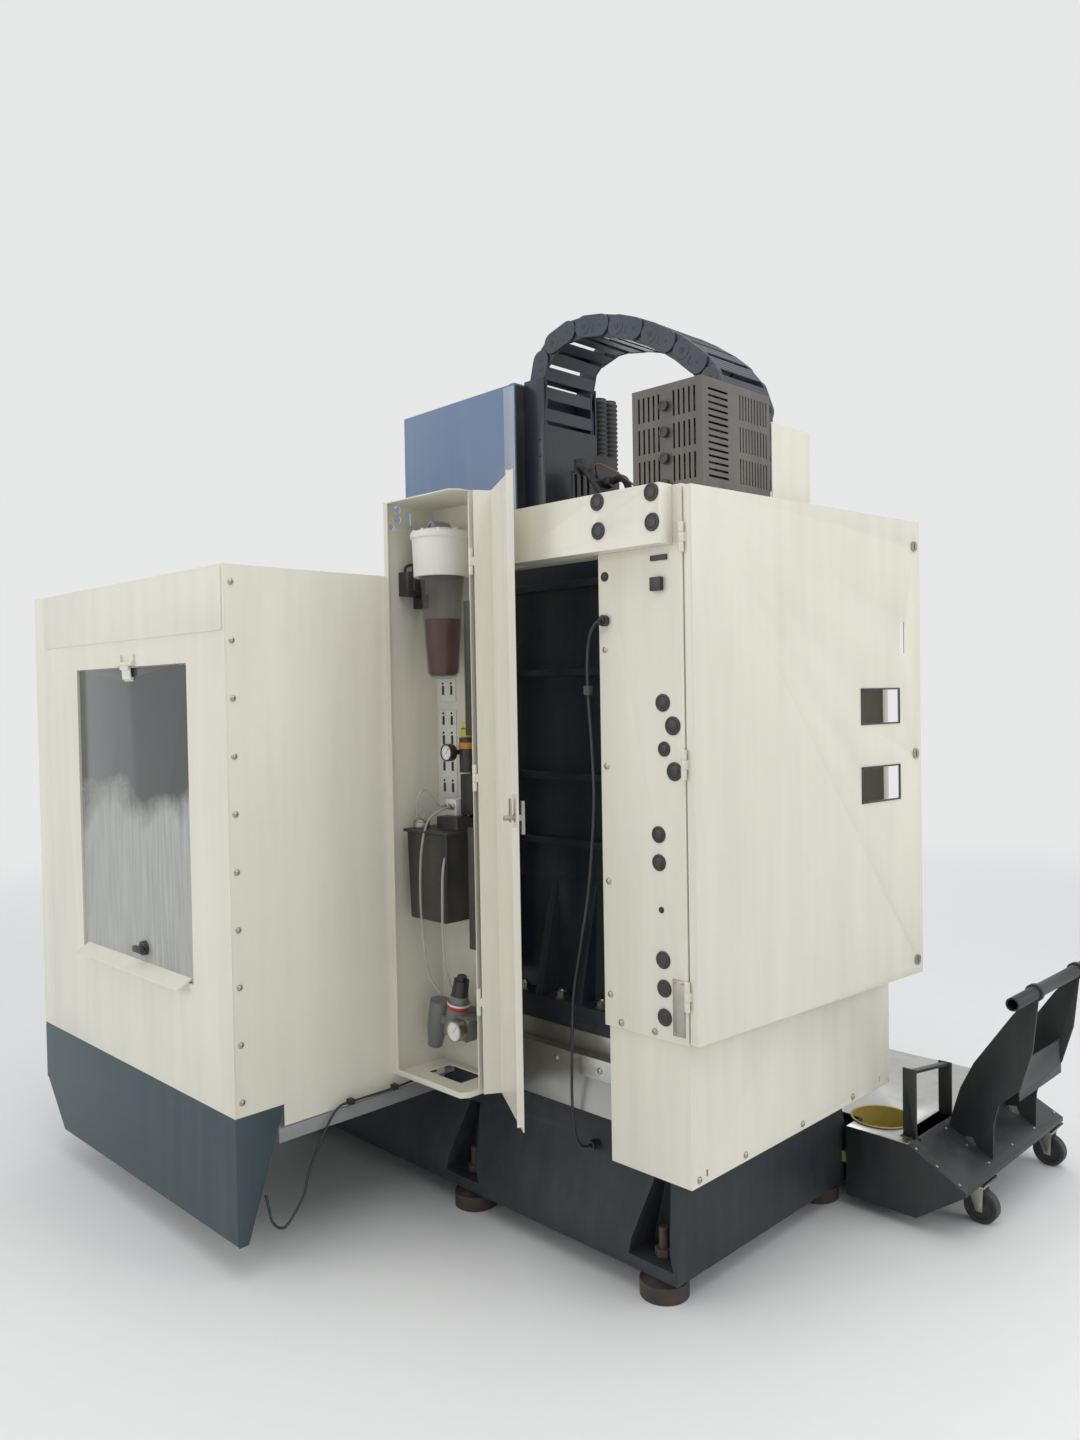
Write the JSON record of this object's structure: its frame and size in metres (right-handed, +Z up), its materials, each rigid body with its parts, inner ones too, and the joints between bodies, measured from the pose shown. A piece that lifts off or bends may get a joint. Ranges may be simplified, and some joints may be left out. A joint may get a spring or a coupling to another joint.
{
  "type": "cnc machining center",
  "caption": "Vertical machining center seen from its rear: sheet enclosure, open service cabinet, control cabinet, energy chain and rolling coolant tank.",
  "frame": {"origin": "centre of the footprint on the floor", "axes": "+X to the operator's right, +Y to the rear of the machine, +Z up"},
  "size_m": [2.148, 2.7499, 2.5023],
  "materials": {
    "cream_enamel": "semi-gloss powder coat, lightly soiled",
    "dark_enamel": "textured powder coat",
    "navy_paint": "thick satin machine paint over cast iron",
    "navy_slide": "satin machine paint",
    "slate_enamel": "semi-gloss enamel",
    "gray_enamel": "satin enamel",
    "brown_guard": "matt paint",
    "bare_steel": "machined or brushed",
    "plated": "zinc plated",
    "black_metal": "satin",
    "black_plastic": "moulded",
    "gray_plastic": "moulded",
    "white_plastic": "moulded",
    "pendant_paint": "satin enamel",
    "red_plastic": "moulded",
    "black_rubber": "soft cable sheath",
    "amber_bowl": "clear moulded bowl with dark oil",
    "window_glass": "tinted safety glass"
  },
  "bodies": {
    "frame": {"base_casting": "navy_paint", "leveling_feet": "navy_paint", "column_casting": "navy_paint", "z_motor": "black_metal", "side_panel_right": "cream_enamel", "side_panel_left": "cream_enamel", "rear_panel_right": "cream_enamel", "rear_panel_left": "cream_enamel", "front_fascia": "cream_enamel", "lower_skirt": "dark_enamel", "chip_pan": "gray_enamel", "fasteners": "bare_steel", "lube_cabinet": "cream_enamel", "oil_bowl": "amber_bowl", "oil_bowl_cap": "white_plastic", "lube_tank": "black_plastic", "air_unit": "black_plastic", "filter_regulator": "gray_plastic", "cable_trunk": "cream_enamel", "side_fittings": "black_plastic", "control_cabinet": "cream_enamel", "transformer_box": "cream_enamel", "resistor_cover": "brown_guard", "gutter_rail": "bare_steel", "changer_beam": "gray_enamel", "skirt_cable": "black_rubber", "supply_cord": "black_rubber", "cable_fittings": "black_plastic", "energy_chain": "gray_plastic"},
    "table_unit": {"table": "bare_steel"},
    "saddle_unit": {"saddle": "navy_slide"},
    "head": {"spindle_head": "navy_slide", "head_cover": "slate_enamel", "spindle_motor": "black_metal"},
    "spindle_unit": {"spindle": "bare_steel"},
    "lift_screw": {"z_screw": "bare_steel"},
    "changer": {"changer_carriage": "gray_enamel"},
    "carousel": {"tool_carousel": "gray_enamel"},
    "door_left": {"front_door_left": "cream_enamel"},
    "door_right": {"front_door_right": "cream_enamel"},
    "window_right": {"side_window_right": "window_glass"},
    "window_left": {"side_window_left": "window_glass"},
    "service_door": {"lube_door": "cream_enamel"},
    "service_latch": {"lube_door_latch": "plated"},
    "cabinet_door": {"control_door": "cream_enamel"},
    "lock_a": {"lock_upper": "plated"},
    "lock_b": {"lock_middle": "plated"},
    "lock_c": {"lock_lower": "plated"},
    "switch_lever": {"main_switch": "black_plastic"},
    "arm": {"pendant_arm": "black_metal"},
    "pendant_box": {"pendant": "pendant_paint"},
    "stop_button": {"emergency_stop": "red_plastic"},
    "hand_wheel": {"jog_wheel": "black_plastic"},
    "tank": {"coolant_tank": "dark_enamel", "tank_lid": "bare_steel"},
    "fork_left": {"caster_left": "plated"},
    "fork_right": {"caster_right": "plated"},
    "roller_left": {"wheel_left": "black_rubber"},
    "roller_right": {"wheel_right": "black_rubber"},
    "knob": {"regulator_knob": "black_plastic"}
  },
  "joints": [
    {"name": "saddle_travel", "type": "slide", "parent": "frame", "child": "saddle_unit", "axis": [0, 1, 0], "range_m": [-0.203, 0.203]},
    {"name": "table_travel", "type": "slide", "parent": "saddle_unit", "child": "table_unit", "axis": [1, 0, 0], "range_m": [-0.381, 0.381]},
    {"name": "head_travel", "type": "slide", "parent": "frame", "child": "head", "axis": [0, 0, 1], "range_m": [-0.508, 0], "deforming": ["energy_chain"]},
    {"name": "screw_turn", "type": "hinge", "parent": "frame", "child": "lift_screw", "pos_m": [0, 0.321, 1.3], "axis": [0, 0, 1], "range_deg": [-18300, 20]},
    {"name": "spindle_turn", "type": "hinge", "parent": "head", "child": "spindle_unit", "pos_m": [0, -0.35, 1.5], "axis": [0, 0, 1], "continuous": true},
    {"name": "changer_travel", "type": "slide", "parent": "frame", "child": "changer", "axis": [1, 0, 0], "range_m": [0, 0.34]},
    {"name": "carousel_turn", "type": "hinge", "parent": "changer", "child": "carousel", "pos_m": [-0.6, -0.35, 1.5], "axis": [0, 0, 1], "continuous": true},
    {"name": "door_right_travel", "type": "slide", "parent": "frame", "child": "door_right", "axis": [1, 0, 0], "range_m": [0, 0.43]},
    {"name": "door_left_travel", "type": "slide", "parent": "frame", "child": "door_left", "axis": [-1, 0, 0], "range_m": [0, 0.43]},
    {"name": "window_right_lift", "type": "hinge", "parent": "frame", "child": "window_right", "pos_m": [1.047, -0.4985, 1.548], "axis": [0, -1, 0], "range_deg": [0, 80]},
    {"name": "window_left_lift", "type": "hinge", "parent": "frame", "child": "window_left", "pos_m": [-1.047, -0.4985, 1.548], "axis": [0, 1, 0], "range_deg": [0, 80]},
    {"name": "service_door_turn", "type": "hinge", "parent": "frame", "child": "service_door", "pos_m": [0.502, 0.345, 1.2], "axis": [0, 0, 1], "range_deg": [-148, 2]},
    {"name": "service_latch_turn", "type": "hinge", "parent": "service_door", "child": "service_latch", "pos_m": [0.58052, 0.58012, 1.15], "axis": [-0.848, 0.5299, 0], "range_deg": [0, 90]},
    {"name": "cabinet_door_turn", "type": "hinge", "parent": "frame", "child": "cabinet_door", "pos_m": [0.474, 1.002, 1.28], "axis": [0, 0, -1], "range_deg": [-4.3, 110.7]},
    {"name": "lock_upper_turn", "type": "hinge", "parent": "cabinet_door", "child": "lock_a", "pos_m": [-0.43072, 1.09309, 1.826], "axis": [0.075, 0.9972, 0], "range_deg": [0, 90]},
    {"name": "lock_middle_turn", "type": "hinge", "parent": "cabinet_door", "child": "lock_b", "pos_m": [-0.43072, 1.09309, 1.267], "axis": [0.075, 0.9972, 0], "range_deg": [0, 90]},
    {"name": "lock_lower_turn", "type": "hinge", "parent": "cabinet_door", "child": "lock_c", "pos_m": [-0.43072, 1.09309, 0.705], "axis": [0.075, 0.9972, 0], "range_deg": [0, 90]},
    {"name": "switch_throw", "type": "hinge", "parent": "frame", "child": "switch_lever", "pos_m": [-0.374, 0.921, 1.579], "axis": [1, 0, 0], "range_deg": [-15, 15]},
    {"name": "arm_swing", "type": "hinge", "parent": "frame", "child": "arm", "pos_m": [0.93, -1.245, 1.37], "axis": [0, 0, 1], "range_deg": [0, 100]},
    {"name": "pendant_tilt", "type": "hinge", "parent": "arm", "child": "pendant_box", "pos_m": [0.64, -1.245, 1.37], "axis": [1, 0, 0], "range_deg": [-8, 8]},
    {"name": "stop_press", "type": "slide", "parent": "pendant_box", "child": "stop_button", "axis": [0, 1, 0], "range_m": [0, 0.006]},
    {"name": "wheel_turn", "type": "hinge", "parent": "pendant_box", "child": "hand_wheel", "pos_m": [0.78, -1.35, 1.15], "axis": [0, 1, 0], "continuous": true},
    {"name": "tank_pull", "type": "slide", "parent": "frame", "child": "tank", "axis": [0, 1, 0], "range_m": [0, 0.7]},
    {"name": "caster_left_swivel", "type": "hinge", "parent": "tank", "child": "fork_left", "pos_m": [-1, 1.21, 0.108], "axis": [0, 0, 1], "continuous": true},
    {"name": "caster_right_swivel", "type": "hinge", "parent": "tank", "child": "fork_right", "pos_m": [-0.51, 1.21, 0.108], "axis": [0, 0, 1], "continuous": true},
    {"name": "wheel_left_spin", "type": "hinge", "parent": "fork_left", "child": "roller_left", "pos_m": [-1, 1.232, 0.045], "axis": [1, 0, 0], "continuous": true},
    {"name": "wheel_right_spin", "type": "hinge", "parent": "fork_right", "child": "roller_right", "pos_m": [-0.51, 1.232, 0.045], "axis": [1, 0, 0], "continuous": true},
    {"name": "regulator_turn", "type": "hinge", "parent": "frame", "child": "knob", "pos_m": [0.451, 0.195, 0.56], "axis": [0, 0.2079, 0.9781], "range_deg": [-720, 720]}
  ],
  "couplings": [
    {"joint": "screw_turn", "follows": "head_travel", "rad_per_m": 628.32}
  ]
}
